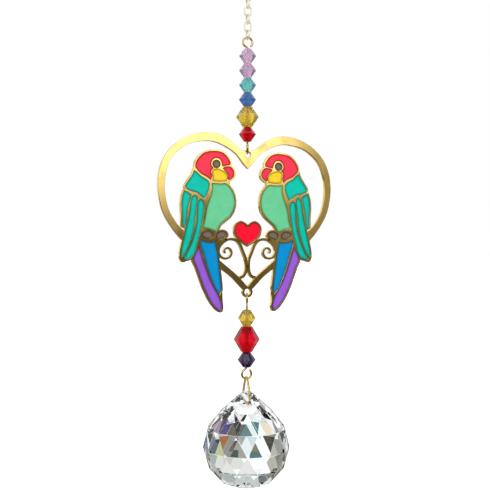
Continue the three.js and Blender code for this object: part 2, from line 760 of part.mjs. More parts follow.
const upperEye = linkCentre + linkInnerLength / 2 - eyeInside;
const upperBeadsEnd = threadBeads( upperBeads, upperEye - eyeOutside - pinNeck );
const panelEye = upperBeadsEnd - pinNeck - eyeOutside;
add( 'upper_pin', eyePin( upperEye, panelEye, sideways, throughPanel ), brass );

const panelHeight = panelEye - plateInEye - panelHole / 2;
const panel = new THREE.Group();
panel.position.z = panelHeight;
group.add( panel );
const lowerHole = - lowerHoleDrop * drawing;
const enamel = enamelCells();
add( 'heart_panel', heartPanel( enamel, lowerHole ), brass, panel );
for ( const cell of enamel ) {

	const inlay = plate( cell.outline, front + enamelSink, front + recessDepth - enamelGap );
	add( cell.name, inlay, { color: cell.colour, roughness: 0.12, metalness: 0 }, panel );

}

const lowerEye = panelHeight + lowerHole - panelHole / 2 - plateInEye;
const lowerBeadsEnd = threadBeads( lowerBeads, lowerEye - eyeOutside - lowerPinNeck );
const clipEye = lowerBeadsEnd - pinNeck - eyeOutside;
add( 'lower_pin', eyePin( lowerEye, clipEye, throughPanel, sideways ), brass );

// The clip and the ball have swung round a little on the lower eye.
const swung = new THREE.Group();
swung.rotation.z = radians( clipTurn );
swung.position.z = clipEye - eyeInside + touchGap + clipWire / 2 - clipHeight;
group.add( swung );
add( 'ball_clip', ballClip(), brass, swung );
const boreUnderWire = ( ballBore - clipWire ) / 2 - touchGap;
const ball = add( 'crystal_ball', crystalBall(), { ...glass, color: 0xf2f4f3, opacity: 0.45 }, swung );
ball.position.z = - boreUnderWire - ( ballNeckHeight - ballBoreDepth );

export default group;
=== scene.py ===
# Crystal suncatcher: gilt wire and chain, glass beads, an enamelled heart and a crystal ball.
# Everything is in metres in the part's own frame: +Z up, the enamel faces -Y.
import json
import math

import bpy
import numpy as np
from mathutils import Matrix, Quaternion, Vector


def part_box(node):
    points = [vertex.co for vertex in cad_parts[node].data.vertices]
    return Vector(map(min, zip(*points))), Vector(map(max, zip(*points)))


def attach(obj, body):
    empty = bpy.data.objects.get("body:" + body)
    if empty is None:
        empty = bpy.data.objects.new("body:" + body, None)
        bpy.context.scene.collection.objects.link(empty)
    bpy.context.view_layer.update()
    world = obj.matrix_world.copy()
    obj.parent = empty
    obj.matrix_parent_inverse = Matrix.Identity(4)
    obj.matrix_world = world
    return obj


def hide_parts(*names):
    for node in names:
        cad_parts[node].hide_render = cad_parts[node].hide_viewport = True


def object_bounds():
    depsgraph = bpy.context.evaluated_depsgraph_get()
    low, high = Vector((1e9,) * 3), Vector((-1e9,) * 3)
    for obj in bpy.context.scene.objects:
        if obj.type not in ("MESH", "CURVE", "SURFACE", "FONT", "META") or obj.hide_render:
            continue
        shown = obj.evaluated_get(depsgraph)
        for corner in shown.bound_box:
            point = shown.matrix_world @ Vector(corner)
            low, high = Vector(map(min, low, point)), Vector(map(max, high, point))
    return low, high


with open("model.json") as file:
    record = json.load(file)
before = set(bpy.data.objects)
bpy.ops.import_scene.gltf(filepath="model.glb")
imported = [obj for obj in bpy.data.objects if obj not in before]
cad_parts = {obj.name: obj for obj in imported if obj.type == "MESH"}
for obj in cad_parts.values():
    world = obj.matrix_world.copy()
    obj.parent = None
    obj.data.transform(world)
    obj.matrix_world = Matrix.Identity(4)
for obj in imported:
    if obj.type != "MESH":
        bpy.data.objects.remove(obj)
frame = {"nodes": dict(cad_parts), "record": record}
partLow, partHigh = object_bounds()
nodes = frame["nodes"]
mm = 0.001
mergeReach = 0.001 * mm  # corners this near are one corner
oneFacet = 1  # degrees between faces that lie in one facet


# Small helpers for editing a piece and for finishing it

def deselectAll():
    for item in bpy.context.selected_objects:
        item.select_set(False)


def takeUp(piece):
    deselectAll()
    piece.select_set(True)
    bpy.context.view_layer.objects.active = piece


def editAll(piece):
    takeUp(piece)
    bpy.ops.object.mode_set(mode="EDIT")
    bpy.ops.mesh.select_all(action="SELECT")


def leaveEdit():
    bpy.ops.object.mode_set(mode="OBJECT")


def selectWhere(piece, kind, test):
    # selects the vertices or faces that pass a test, and leaves the piece in edit mode
    takeUp(piece)
    bpy.ops.object.mode_set(mode="EDIT")
    bpy.ops.mesh.select_mode(type="VERT" if kind == "vertices" else "FACE")
    bpy.ops.mesh.select_all(action="DESELECT")
    bpy.ops.object.mode_set(mode="OBJECT")
    for item in getattr(piece.data, kind):
        item.select = test(item)
    bpy.ops.object.mode_set(mode="EDIT")


def freezePlace(piece):
    takeUp(piece)
    bpy.ops.object.transform_apply(location=True, rotation=True, scale=True)


def applyModifier(piece, kind, **settings):
    takeUp(piece)
    modifier = piece.modifiers.new(kind.title(), kind)
    for name, value in settings.items():
        setattr(modifier, name, value)
    bpy.ops.object.modifier_apply(modifier=modifier.name)


def smoothByAngle(piece, degrees):
    takeUp(piece)
    bpy.ops.object.shade_smooth_by_angle(angle=math.radians(degrees), keep_sharp_edges=False)


def faceOutwards(piece):
    editAll(piece)
    bpy.ops.mesh.normals_make_consistent(inside=False)
    leaveEdit()


def mergedCopy(node, name):
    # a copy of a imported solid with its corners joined, ready to be refined
    piece = bpy.data.objects.new(name, nodes[node].data.copy())
    bpy.context.scene.collection.objects.link(piece)
    editAll(piece)
    bpy.ops.mesh.remove_doubles(threshold=mergeReach)
    leaveEdit()
    return piece


def handOver(piece, slot, material, *stoodFor):
    # finishes a piece: its material, its body and the solids that it stands for
    piece.data.materials.clear()
    piece.data.materials.append(material)
    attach(piece, "root")
    if stoodFor:
        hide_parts(*stoodFor)


# Shader building

def addNode(tree, kind, settings=None, inputs=None):
    node = tree.nodes.new(kind)
    for name, value in (settings or {}).items():
        setattr(node, name, value)
    for name, value in (inputs or {}).items():
        if isinstance(value, bpy.types.NodeSocket):
            tree.links.new(value, node.inputs[name])
        else:
            node.inputs[name].default_value = value
    return node


def mixColours(tree, share, first, second):
    # a Mix node's colours are its inputs 6 and 7 and its output 2
    node = addNode(tree, "ShaderNodeMix", {"data_type": "RGBA"}, {"Factor": share, 6: first, 7: second})
    return node.outputs[2]


def newMaterial(name):
    material = bpy.data.materials.new(name)
    material.use_nodes = True
    tree = material.node_tree
    tree.nodes.clear()
    surface = addNode(tree, "ShaderNodeBsdfPrincipled")
    output = addNode(tree, "ShaderNodeOutputMaterial")
    tree.links.new(surface.outputs["BSDF"], output.inputs["Surface"])
    return material, tree, surface


def newGroup(name, inputs, outputs):
    group = bpy.data.node_groups.new(name, "ShaderNodeTree")
    for title, kind, value in inputs:
        socket = group.interface.new_socket(title, in_out="INPUT", socket_type=kind)
        socket.default_value = value
    for title, kind in outputs:
        group.interface.new_socket(title, in_out="OUTPUT", socket_type=kind)
    return group, addNode(group, "NodeGroupInput").outputs, addNode(group, "NodeGroupOutput")


tarnishRoughness = 0.14  # how much rougher the tarnish is than the bright gilding


def makeTarnishGroup():
    # worn gilding: cloudy tarnish, fine rubbing and a pitted height
    group, given, out = newGroup(
        "tarnishedGilding",
        [("Bright", "NodeSocketColor", (1, 1, 1, 1)), ("Dull", "NodeSocketColor", (0.5, 0.5, 0.5, 1)),
         ("Cloud Scale", "NodeSocketFloat", 200.0), ("Roughness", "NodeSocketFloat", 0.2)],
        [("Colour", "NodeSocketColor"), ("Roughness", "NodeSocketFloat"), ("Height", "NodeSocketFloat")])
    place = addNode(group, "ShaderNodeTexCoord").outputs["Object"]
    clouds = addNode(group, "ShaderNodeTexNoise", inputs={
        "Vector": place, "Scale": given["Cloud Scale"], "Detail": 4.0, "Roughness": 0.6})
    share = addNode(group, "ShaderNodeMapRange", inputs={
        "Value": clouds.outputs["Fac"], "From Min": 0.42, "From Max": 0.78})
    colour = mixColours(group, share.outputs["Result"], given["Bright"], given["Dull"])
    group.links.new(colour, out.inputs["Colour"])
    rubbed = addNode(group, "ShaderNodeMath", {"operation": "MULTIPLY_ADD"}, {
        0: share.outputs["Result"], 1: tarnishRoughness, 2: given["Roughness"]})
    group.links.new(rubbed.outputs[0], out.inputs["Roughness"])
    pits = addNode(group, "ShaderNodeTexNoise", inputs={
        "Vector": place, "Scale": 2600.0, "Detail": 3.0, "Roughness": 0.5})
    group.links.new(pits.outputs["Fac"], out.inputs["Height"])
    return group


def makeEnamelGroup():
    # poured enamel: a painted shade darkens it towards each cell's rim, slightly cloudy, with small specks
    group, given, out = newGroup(
        "pouredEnamel",
        [("Body", "NodeSocketColor", (1, 1, 1, 1)), ("Rim Shade", "NodeSocketColor", (0.2, 0.2, 0.2, 1)),
         ("Cloudiness", "NodeSocketFloat", 0.12)],
        [("Colour", "NodeSocketColor"), ("Roughness", "NodeSocketFloat"), ("Height", "NodeSocketFloat")])
    place = addNode(group, "ShaderNodeTexCoord").outputs["Object"]
    paintedRimShade = addNode(group, "ShaderNodeAttribute", {"attribute_name": "paintedRimShade"})
    clouds = addNode(group, "ShaderNodeTexNoise", inputs={
        "Vector": place, "Scale": 420.0, "Detail": 3.0, "Roughness": 0.55})
    shade = addNode(group, "ShaderNodeMapRange", inputs={
        "Value": clouds.outputs["Fac"], "From Min": 0.3, "From Max": 0.7})
    level = addNode(group, "ShaderNodeMath", {"operation": "SUBTRACT"}, {0: shade.outputs["Result"], 1: 0.5})
    gain = addNode(group, "ShaderNodeMath", {"operation": "MULTIPLY_ADD"}, {
        0: level.outputs[0], 1: given["Cloudiness"], 2: 1.0})
    tinted = addNode(group, "ShaderNodeVectorMath", {"operation": "SCALE"}, {
        0: given["Body"], "Scale": gain.outputs[0]})
    # painted shade: the darker colour is mixed in along the cell's rim, where the brass wall shades the
    # enamel
    colour = mixColours(group, paintedRimShade.outputs["Fac"], tinted.outputs[0], given["Rim Shade"])
    group.links.new(colour, out.inputs["Colour"])
    specks = addNode(group, "ShaderNodeTexVoronoi", inputs={"Vector": place, "Scale": 1500.0})
    speck = addNode(group, "ShaderNodeMapRange", inputs={
        "Value": specks.outputs["Distance"], "From Min": 0.05, "From Max": 0.16})
    height = addNode(group, "ShaderNodeMath", {"operation": "MULTIPLY_ADD"}, {
        0: speck.outputs["Result"], 1: 0.2, 2: clouds.outputs["Fac"]})
    group.links.new(height.outputs[0], out.inputs["Height"])
    dull = addNode(group, "ShaderNodeMapRange", inputs={
        "Value": clouds.outputs["Fac"], "To Min": 0.16, "To Max": 0.3})
    group.links.new(dull.outputs["Result"], out.inputs["Roughness"])
    return group


def makeFlowGroup():
    # cut glass: faint flow lines in the colour and fine polishing marks in the gloss
    group, given, out = newGroup(
        "cutGlass",
        [("Tint", "NodeSocketColor", (1, 1, 1, 1)), ("Deep", "NodeSocketColor", (0.5, 0.5, 0.5, 1)),
         ("Flow Scale", "NodeSocketFloat", 300.0)],
        [("Colour", "NodeSocketColor"), ("Roughness", "NodeSocketFloat")])
    place = addNode(group, "ShaderNodeTexCoord").outputs["Object"]
    flow = addNode(group, "ShaderNodeTexNoise", inputs={
        "Vector": place, "Scale": given["Flow Scale"], "Detail": 2.0, "Distortion": 0.6})
    share = addNode(group, "ShaderNodeMapRange", inputs={
        "Value": flow.outputs["Fac"], "From Min": 0.35, "From Max": 0.75})
    colour = mixColours(group, share.outputs["Result"], given["Tint"], given["Deep"])
    group.links.new(colour, out.inputs["Colour"])
    marks = addNode(group, "ShaderNodeTexNoise", inputs={"Vector": place, "Scale": 5200.0, "Detail": 2.0})
    gloss = addNode(group, "ShaderNodeMapRange", inputs={
        "Value": marks.outputs["Fac"], "From Min": 0.4, "From Max": 0.8, "To Max": 0.02})
    group.links.new(gloss.outputs["Result"], out.inputs["Roughness"])
    return group


def placeGroup(tree, group, values):
    node = addNode(tree, "ShaderNodeGroup", {"node_tree": group})
    for name, value in values.items():
        node.inputs[name].default_value = value
    return node


def addBump(tree, surface, height, strength, distance):
    bump = addNode(tree, "ShaderNodeBump", inputs={
        "Height": height, "Strength": strength, "Distance": distance})
    tree.links.new(bump.outputs["Normal"], surface.inputs["Normal"])


# Gilt brass

gildings = {
    "castGilding": {"bright": (0.96, 0.69, 0.23, 1), "dull": (0.80, 0.54, 0.16, 1),
                    "clouds": 260.0, "rough": 0.08, "metal": 1.0},
    "wireGilding": {"bright": (0.94, 0.72, 0.30, 1), "dull": (0.72, 0.52, 0.19, 1),
                    "clouds": 900.0, "rough": 0.14, "metal": 1.0},
    "chainGilding": {"bright": (1.0, 0.94, 0.79, 1), "dull": (0.94, 0.85, 0.63, 1),
                     "clouds": 1200.0, "rough": 0.3, "metal": 0.65},
}
tarnishGroup = makeTarnishGroup()


def makeGilding(name):
    look = gildings[name]
    material, tree, surface = newMaterial(name)
    tarnish = placeGroup(tree, tarnishGroup, {
        "Bright": look["bright"], "Dull": look["dull"],
        "Cloud Scale": look["clouds"], "Roughness": look["rough"]})
    tree.links.new(tarnish.outputs["Colour"], surface.inputs["Base Color"])
    tree.links.new(tarnish.outputs["Roughness"], surface.inputs["Roughness"])
    surface.inputs["Metallic"].default_value = look["metal"]
    addBump(tree, surface, tarnish.outputs["Height"], strength=0.06, distance=0.01 * mm)
    return material


castGilding = makeGilding("castGilding")
wireGilding = makeGilding("wireGilding")
chainGilding = makeGilding("chainGilding")


# In the shapes below angles are in degrees, and edges that turn by less than "smooth" are shaded round.

# Hanging ring: a jump ring, closed with a small solder seam

ringShape = {"wire": 0.9 * mm, "around": 96, "section": 20, "seamSwell": 0.05 * mm, "seamReach": 0.7 * mm,
             "smooth": 60}


def makeHangingRing():
    low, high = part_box("hanging_ring")
    centre = (low + high) / 2
    radius = (high.z - low.z - ringShape["wire"]) / 2
    bpy.ops.mesh.primitive_torus_add(
        major_radius=radius, minor_radius=ringShape["wire"] / 2, major_segments=ringShape["around"],
        minor_segments=ringShape["section"], location=centre, rotation=(math.pi / 2, 0, 0))
    ring = bpy.context.active_object
    ring.name = "gilt_hanging_ring"
    freezePlace(ring)
    seam = centre + Vector((radius, 0, 0))
    selectWhere(ring, "vertices", lambda v: (v.co - seam).length < ringShape["seamReach"])
    bpy.ops.transform.shrink_fatten(value=ringShape["seamSwell"])
    bpy.ops.mesh.vertices_smooth(factor=0.5, repeat=2)
    leaveEdit()
    smoothByAngle(ring, ringShape["smooth"])
    handOver(ring, "brass", wireGilding, "hanging_ring")


# Chain: oval links of drawn wire

linkShape = {"count": 7, "wire": 0.4 * mm, "innerLength": 1.83 * mm, "innerWidth": 1.2 * mm,
             "around": 32, "section": 12, "smooth": 60}


def makeLink(number):
    node = f"chain_link_{number}"
    low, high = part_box(node)
    centre = (low + high) / 2
    sideways = high.y - low.y > high.x - low.x
    bpy.ops.mesh.primitive_torus_add(
        major_radius=(linkShape["innerWidth"] + linkShape["wire"]) / 2, minor_radius=linkShape["wire"] / 2,
        major_segments=linkShape["around"], minor_segments=linkShape["section"],
        location=centre, rotation=(math.pi / 2, 0, math.pi / 2 if sideways else 0))
    link = bpy.context.active_object
    link.name = f"gilt_link_{number}"
    freezePlace(link)
    drawnApart = (linkShape["innerLength"] - linkShape["innerWidth"]) / 2
    for side in (1, -1):
        selectWhere(link, "vertices", lambda v: side * (v.co.z - centre.z) > 0)
        bpy.ops.transform.translate(value=(0, 0, side * drawnApart))
        leaveEdit()
    smoothByAngle(link, linkShape["smooth"])
    handOver(link, "brass", chainGilding, node)


# Eye pins: a straight wire with a round eye bent at either end

pinShape = {"wire": 0.5 * mm, "eyeInner": 1.8 * mm, "neckBend": 22, "eyeOpening": 38, "panelEyeTurn": -18,
            "section": 16, "neckSteps": 8, "eyeSteps": 36, "ringReach": 0.01 * mm,
            "cutEdge": 0.06 * mm, "cutDish": 0.03 * mm, "smooth": 50}


def bendEye(pin, middle, centre, up, side):
    # takes the end of the wire at the middle of the pin out to an eye, round it and to its cut end
    radius = (pinShape["eyeInner"] + pinShape["wire"]) / 2
    lean = math.radians(pinShape["neckBend"])
    neckRadius = radius * math.sin(lean) / (1 - math.sin(lean))
    straightEnd = centre - up * (radius * math.cos(lean) + neckRadius * math.cos(lean))
    selectWhere(pin, "vertices", lambda v: (
        abs(v.co.z - middle) < pinShape["ringReach"] and v.co.xy.length < pinShape["wire"]))
    bpy.ops.mesh.extrude_region_move(TRANSFORM_OT_translate={"value": (0, 0, straightEnd - middle)})
    axis = Vector((0, 0, up)).cross(side)
    neckCentre = side * neckRadius + Vector((0, 0, straightEnd))
    bpy.ops.mesh.spin(steps=pinShape["neckSteps"], angle=math.pi / 2 - lean, center=neckCentre, axis=-axis)
    sweep = 2 * math.pi - math.radians(pinShape["eyeOpening"]) - lean
    bpy.ops.mesh.spin(steps=pinShape["eyeSteps"], angle=sweep, center=(0, 0, centre), axis=axis)
    bpy.ops.mesh.edge_face_add()
    bpy.ops.mesh.inset(thickness=pinShape["cutEdge"], depth=pinShape["cutDish"])
    leaveEdit()


def makePin(node, name, topSide, bottomSide):
    low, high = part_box(node)
    outer = pinShape["eyeInner"] / 2 + pinShape["wire"]
    top = high.z - outer
    bottom = low.z + outer
    middle = (top + bottom) / 2
    bpy.ops.mesh.primitive_circle_add(
        vertices=pinShape["section"], radius=pinShape["wire"] / 2, location=(0, 0, middle))
    pin = bpy.context.active_object
    pin.name = name
    freezePlace(pin)
    bendEye(pin, middle, top, 1, topSide)
    bendEye(pin, middle, bottom, -1, bottomSide)
    faceOutwards(pin)
    smoothByAngle(pin, pinShape["smooth"])
    handOver(pin, "brass", wireGilding, node)


# Clip: one wire over the lower eye, with both ends turned into the ball's bore

clipShape = {
    "wire": 0.55 * mm, "height": 5.6 * mm, "reach": 4.5 * mm, "grip": 1.7 * mm, "turn": -11,
    "strand": [(0.88, 0), (0.97, 0.035), (1, 0.11), (0.96, 0.24), (0.8, 0.46), (0.56, 0.7), (0.34, 0.87),
               (0.16, 0.975), (0, 1)],
    "steps": 10, "section": 6, "smooth": 50,
}


def makeClip():
    low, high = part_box("ball_clip")
    foot = high.z - clipShape["wire"] / 2 - clipShape["height"]
    half = [(clipShape["grip"], 0)]
    half += [(share * clipShape["reach"], rise * clipShape["height"]) for share, rise in clipShape["strand"]]
    route = [(-reach, rise) for reach, rise in half] + half[-2::-1]
    line = bpy.data.curves.new("clipLine", "CURVE")
    line.dimensions = "3D"
    line.bevel_depth = clipShape["wire"] / 2
    line.bevel_resolution = clipShape["section"]
    line.use_fill_caps = True
    spline = line.splines.new("BEZIER")
    spline.bezier_points.add(len(route) - 1)
    spline.resolution_u = clipShape["steps"]
    for point, (reach, rise) in zip(spline.bezier_points, route):
        point.co = (0, reach, foot + rise)
        point.handle_left_type = point.handle_right_type = "AUTO"
    clip = bpy.data.objects.new("gilt_ball_clip", line)
    bpy.context.scene.collection.objects.link(clip)
    clip.rotation_euler.z = math.radians(clipShape["turn"])
    takeUp(clip)
    bpy.ops.object.convert(target="MESH")
    clip = bpy.context.active_object
    freezePlace(clip)
    editAll(clip)
    bpy.ops.mesh.remove_doubles(threshold=mergeReach)
    bpy.ops.mesh.normals_make_consistent(inside=False)
    leaveEdit()
    smoothByAngle(clip, clipShape["smooth"])
    handOver(clip, "brass", wireGilding, "ball_clip")


# Panel: the casting with its sharp edges rubbed round

panelShape = {"edge": 0.07 * mm, "edgeSteps": 2, "turn": 40, "smooth": 60, "flat": 0.999}


def makePanel():
    panel = mergedCopy("heart_panel", "gilt_heart_panel")
    editAll(panel)
    bpy.ops.mesh.beautify_fill(angle_limit=math.radians(oneFacet))
    leaveEdit()
    applyModifier(panel, "BEVEL", width=panelShape["edge"], segments=panelShape["edgeSteps"],
                  limit_method="ANGLE", angle_limit=math.radians(panelShape["turn"]), use_clamp_overlap=False)
    smoothByAngle(panel, panelShape["smooth"])
    for face in panel.data.polygons:
        # the flats stay flat, only the rubbed edges are round
        face.use_smooth = abs(face.normal.y) < panelShape["flat"]
    handOver(panel, "brass", castGilding, "heart_panel")


# Enamel: poured into each recess, high round its rim and hollow in the middle

enamelGroup = makeEnamelGroup()
enamelShape = {"pitch": 0.16 * mm, "skin": 0.01 * mm, "rimWidth": 0.42 * mm, "hollow": 0.1 * mm,
               "rimLift": 0.03 * mm, "shadeWidth": 0.55 * mm, "shadeFall": 1.5, "smooth": 50}
# each enamel's second colour is painted shade, mixed in along the rim of its cell
enamels = {
    "red_enamel": {"body": (0.90, 0.035, 0.075, 1), "rimShade": (0.26, 0.02, 0.015, 1)},
    "deep_red_enamel": {"body": (0.95, 0.004, 0.03, 1), "rimShade": (0.30, 0.01, 0.01, 1)},
    "yellow_enamel": {"body": (0.86, 0.60, 0.02, 1), "rimShade": (0.40, 0.22, 0.01, 1)},
    "teal_enamel": {"body": (0.0, 0.49, 0.38, 1), "rimShade": (0.01, 0.13, 0.07, 1)},
    "green_enamel": {"body": (0.135, 0.55, 0.28, 1), "rimShade": (0.08, 0.18, 0.04, 1)},
    "brown_enamel": {"body": (0.165, 0.125, 0.10, 1), "rimShade": (0.05, 0.035, 0.012, 1)},
    "blue_enamel": {"body": (0.0, 0.25, 0.57, 1), "rimShade": (0.01, 0.07, 0.12, 1)},
    "purple_enamel": {"body": (0.28, 0.10, 0.60, 1), "rimShade": (0.09, 0.03, 0.12, 1)},
}


def makeEnamel(name):
    look = enamels[name]
    material, tree, surface = newMaterial(name)
    pour = placeGroup(tree, enamelGroup, {"Body": look["body"], "Rim Shade": look["rimShade"]})
    tree.links.new(pour.outputs["Colour"], surface.inputs["Base Color"])
    tree.links.new(pour.outputs["Roughness"], surface.inputs["Roughness"])
    surface.inputs["Specular IOR Level"].default_value = 0.12
    surface.inputs["Coat Weight"].default_value = 0.12
    surface.inputs["Coat Roughness"].default_value = 0.05
    addBump(tree, surface, pour.outputs["Height"], strength=0.05, distance=0.02 * mm)
    return material


def borderEdges(mesh, front):
    # the outline of a cell's face, as two arrays of corners in X and Z
    starts, ends = [], []
    for edge in mesh.edges:
        a, b = (mesh.vertices[i].co for i in edge.vertices)
        if abs(a.y - front) < mergeReach and abs(b.y - front) < mergeReach:
            starts.append((a.x, a.z))
            ends.append((b.x, b.z))
    return np.array(starts), np.array(ends)


def distanceToBorder(points, starts, ends):
    along = ends - starts
    squared = np.maximum((along * along).sum(1), mergeReach ** 2)
    reach = points[:, None, :] - starts[None, :, :]
    share = np.clip((reach * along).sum(2) / squared, 0, 1)
    return np.linalg.norm(reach - share[:, :, None] * along, axis=2).min(1)


def cutPlate(node, low, high):
    # a fine plate cut to the cell's outline, with the edges of that outline
    outline = mergedCopy(node, "cellOutline")
    editAll(outline)
    bpy.ops.mesh.dissolve_limited(angle_limit=math.radians(oneFacet))
    leaveEdit()
    size = high - low
    middle = (low + high) / 2
    starts, ends = borderEdges(outline.data, low.y)
    pitch = enamelShape["pitch"]
    bpy.ops.mesh.primitive_grid_add(
        x_subdivisions=math.ceil(size.x / pitch) + 2, y_subdivisions=math.ceil(size.z / pitch) + 2, size=1,
        location=(middle.x, low.y + enamelShape["skin"], middle.z), rotation=(math.pi / 2, 0, 0))
    fill = bpy.context.active_object
    fill.name = node.replace("enamel_", "poured_")
    fill.scale = (size.x + 2 * pitch, size.z + 2 * pitch, 1)
    freezePlace(fill)
    editAll(fill)
    bpy.ops.mesh.extrude_region_move(
        TRANSFORM_OT_translate={"value": (0, size.y - 2 * enamelShape["skin"], 0)})
    leaveEdit()
    faceOutwards(fill)
    applyModifier(fill, "BOOLEAN", operation="INTERSECT", solver="MANIFOLD", object=outline)
    bpy.data.objects.remove(outline)
    return fill, starts, ends


def makeFill(node, slot, material):
    # the plate's face is hollowed away from its border, and a painted shade along its rim is marked for the
    # shader
    low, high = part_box(node)
    fill, starts, ends = cutPlate(node, low, high)
    points = np.zeros(len(fill.data.vertices) * 3)
    fill.data.vertices.foreach_get("co", points)
    points = points.reshape(-1, 3)
    inward = distanceToBorder(points[:, [0, 2]], starts, ends)
    onFace = points[:, 1] < (low.y + high.y) / 2
    depth = np.clip(inward / enamelShape["rimWidth"], 0, 1)
    hollow = enamelShape["hollow"] * depth * (2 - depth) - enamelShape["rimLift"]
    points[onFace, 1] = low.y + hollow[onFace]
    fill.data.vertices.foreach_set("co", points.ravel())
    paintedRimShade = fill.data.attributes.new("paintedRimShade", "FLOAT", "POINT")
    # how far the painted shade reaches in from the cell's rim, and how fast it fades
    paintedShade = np.clip(1 - inward / enamelShape["shadeWidth"], 0, 1) ** enamelShape["shadeFall"]
    paintedRimShade.data.foreach_set("value", paintedShade.astype(np.float32))
    fill.data.update()
    smoothByAngle(fill, enamelShape["smooth"])
    handOver(fill, slot, material, node)


# Glass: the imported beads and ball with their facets' edges polished off

flowGroup = makeFlowGroup()
frostRoughness = 0.4
beadGlass = {"clear": 0.9, "ior": 1.56, "gloss": 0.3}
# the frosted colour tints the bore walls and also colours their painted glow, whose strength is the last
# entry
glasses = {
    "lilac_glass": {**beadGlass, "tint": (0.74, 0.55, 0.78, 1), "deep": (0.52, 0.34, 0.62, 1),
                    "frostAndGlow": (1.0, 0.85, 0.92, 1), "paintedGlow": 0.2},
    "aqua_glass": {**beadGlass, "tint": (0.14, 0.60, 0.64, 1), "deep": (0.03, 0.34, 0.38, 1),
                   "frostAndGlow": (0.95, 1.0, 1.0, 1), "paintedGlow": 0.2},
    "blue_glass": {**beadGlass, "tint": (0.08, 0.22, 0.62, 1), "deep": (0.015, 0.06, 0.30, 1),
                   "frostAndGlow": (0.9, 0.95, 1.0, 1), "paintedGlow": 0.1},
    "yellow_glass": {**beadGlass, "tint": (0.88, 0.66, 0.08, 1), "deep": (0.66, 0.44, 0.03, 1),
                     "frostAndGlow": (1.0, 0.92, 0.55, 1), "paintedGlow": 0.02},
    "red_glass": {**beadGlass, "tint": (0.90, 0.0, 0.02, 1), "deep": (0.58, 0.0, 0.01, 1),
                  "frostAndGlow": (0.9, 0.05, 0.07, 1), "paintedGlow": 0.0},
    "violet_glass": {**beadGlass, "tint": (0.05, 0.02, 0.12, 1), "deep": (0.01, 0.003, 0.03, 1),
                     "frostAndGlow": (0.15, 0.1, 0.22, 1), "paintedGlow": 0.0, "gloss": 0.12},
    "clear_crystal": {"tint": (0.99, 1.0, 0.995, 1), "deep": (0.95, 0.97, 0.975, 1),
                      "frostAndGlow": (1.0, 1.0, 1.0, 1), "paintedGlow": 0.0, "clear": 1.0, "ior": 1.6, "gloss": 0.5},
}


def makeGlass(slot):
    # the beads' bores are drilled, so their walls are frosted and pale, with a painted glow standing in for
    # the light they catch
    look = glasses[slot]
    material, tree, surface = newMaterial(slot)
    flow = placeGroup(tree, flowGroup, {"Tint": look["tint"], "Deep": look["deep"]})
    bore = addNode(tree, "ShaderNodeAttribute", {"attribute_name": "bore"}).outputs["Fac"]
    frosted = mixColours(tree, bore, flow.outputs["Colour"], look["frostAndGlow"])
    tree.links.new(frosted, surface.inputs["Base Color"])
    rough = addNode(tree, "ShaderNodeMath", {"operation": "MULTIPLY_ADD"}, {
        0: bore, 1: frostRoughness, 2: flow.outputs["Roughness"]})
    tree.links.new(rough.outputs[0], surface.inputs["Roughness"])
    # painted light: the bore walls glow in their frosted colour, though they are no lamp
    paintedGlow = mixColours(tree, bore, (0, 0, 0, 1), look["frostAndGlow"])
    tree.links.new(paintedGlow, surface.inputs["Emission Color"])
    surface.inputs["Emission Strength"].default_value = look["paintedGlow"]
    surface.inputs["Transmission Weight"].default_value = look["clear"]
    surface.inputs["IOR"].default_value = look["ior"]
    surface.inputs["Specular IOR Level"].default_value = look["gloss"]
    return material


polish = {"beadEdge": 0.05 * mm, "ballEdge": 0.045 * mm, "steps": 2, "turn": 12, "smooth": 2,
          "boreReach": 0.52 * mm, "upright": 0.5}


def markBore(piece):
    # the walls of the hole along the axis
    bore = piece.data.attributes.new("bore", "FLOAT", "FACE")
    walls = [face.center.xy.length < polish["boreReach"] and abs(face.normal.z) < polish["upright"]
             for face in piece.data.polygons]
    bore.data.foreach_set("value", [float(wall) for wall in walls])


def polishGlass(node, name, slot, edge, material):
    piece = mergedCopy(node, name)
    editAll(piece)
    bpy.ops.mesh.dissolve_limited(angle_limit=math.radians(oneFacet))
    leaveEdit()
    applyModifier(piece, "BEVEL", width=edge, segments=polish["steps"], limit_method="ANGLE",
                  angle_limit=math.radians(polish["turn"]))
    smoothByAngle(piece, polish["smooth"])
    markBore(piece)
    handOver(piece, slot, material, node)


# Building

makeHangingRing()
for number in range(1, linkShape["count"] + 1):
    makeLink(number)
leftward = Vector((-1, 0, 0))
eyeTurn = math.radians(pinShape["panelEyeTurn"])
throughPanel = Vector((-math.sin(eyeTurn), math.cos(eyeTurn), 0))
makePin("upper_pin", "gilt_upper_pin", leftward, throughPanel)
makePin("lower_pin", "gilt_lower_pin", throughPanel, leftward)
makeClip()
print("wire and chain made")

makePanel()
print("panel made")

slotOf = {row["node"]: row["material_slot"] for row in frame["record"]["subparts"]}
enamelMaterials = {look: makeEnamel(look) for look in enamels}
for node, slot in slotOf.items():
    if slot in enamels:
        look = "deep_red_enamel" if node == "enamel_heart" else slot
        makeFill(node, slot, enamelMaterials[look])
print("enamel poured")

glassMaterials = {slot: makeGlass(slot) for slot in glasses}
for node, slot in slotOf.items():
    if slot in glasses:
        edge = polish["ballEdge"] if node == "crystal_ball" else polish["beadEdge"]
        polishGlass(node, f"cut_{node}", slot, edge, glassMaterials[slot])
print("glass cut")


# Studio: a pale floor far below, soft light from the front, and a room of cards for gloss and for glass

studio = {
    "floorDrop": 0.28, "floorSize": 60.0, "floorColour": (0.86, 0.86, 0.85, 1), "floorGlow": 0.75,
    "diffuseRoom": 0.42, "wall": (1.0, 1.0, 1.0, 1),
}
